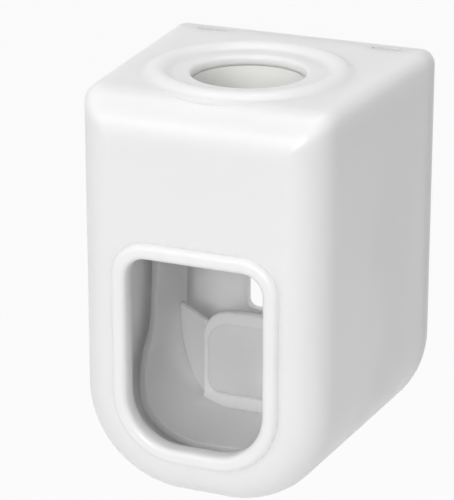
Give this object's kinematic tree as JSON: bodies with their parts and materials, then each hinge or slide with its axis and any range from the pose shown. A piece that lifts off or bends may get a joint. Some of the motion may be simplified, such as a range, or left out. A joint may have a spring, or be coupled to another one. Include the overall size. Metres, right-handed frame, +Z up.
{
  "type": "toothpaste dispenser",
  "caption": "White wall-mounted push-type toothpaste dispenser: rounded case with a brush window, swinging push cradle and a diaphragm pump under a tube socket.",
  "frame": {"origin": "centre of the wall pad's back face, on the wall", "axes": "+X to the dispenser's right seen from the front, +Y towards the wall, +Z up"},
  "size_m": [0.061, 0.061, 0.0896],
  "materials": {
    "white_case": "glossy moulded white ABS",
    "white_inner": "satin moulded white plastic",
    "silicone": "soft white silicone",
    "steel": "plain drawn steel",
    "foam_tape": "grey adhesive foam"
  },
  "bodies": {
    "housing": {"outer_shell": "white_case", "rear_cover": "white_case", "wall_pad": "foam_tape", "cover_screws": "steel", "pump_carrier": "white_inner", "pivot_pins": "steel", "pin_clips": "steel", "return_spring": "steel", "stop_bumpers": "silicone", "pump_body": "white_inner", "pump_screws": "steel", "pump_diaphragm": "silicone", "diaphragm_cap": "white_inner", "inlet_valve": "silicone", "outlet_valve": "silicone", "nozzle_collar": "white_inner", "tube_seal": "silicone"},
    "cradle": {"push_cradle": "white_case", "press_bar": "steel"},
    "plunger": {"plunger_button": "white_inner"}
  },
  "joints": [
    {"name": "push_swing", "type": "hinge", "parent": "housing", "child": "cradle", "pos_m": [0, -0.03, -0.01075], "axis": [1, 0, 0], "range_deg": [0, 12], "stiffness_Nm_per_rad": 0.35, "springref_deg": -14.32, "deforming": ["return_spring"]},
    {"name": "plunger_slide", "type": "slide", "parent": "housing", "child": "plunger", "axis": [0, -1, 0], "range_m": [0, 0.00262], "deforming": ["pump_diaphragm"]}
  ],
  "couplings": [
    {"joint": "plunger_slide", "follows": "push_swing", "m_per_rad": 0.0125}
  ]
}
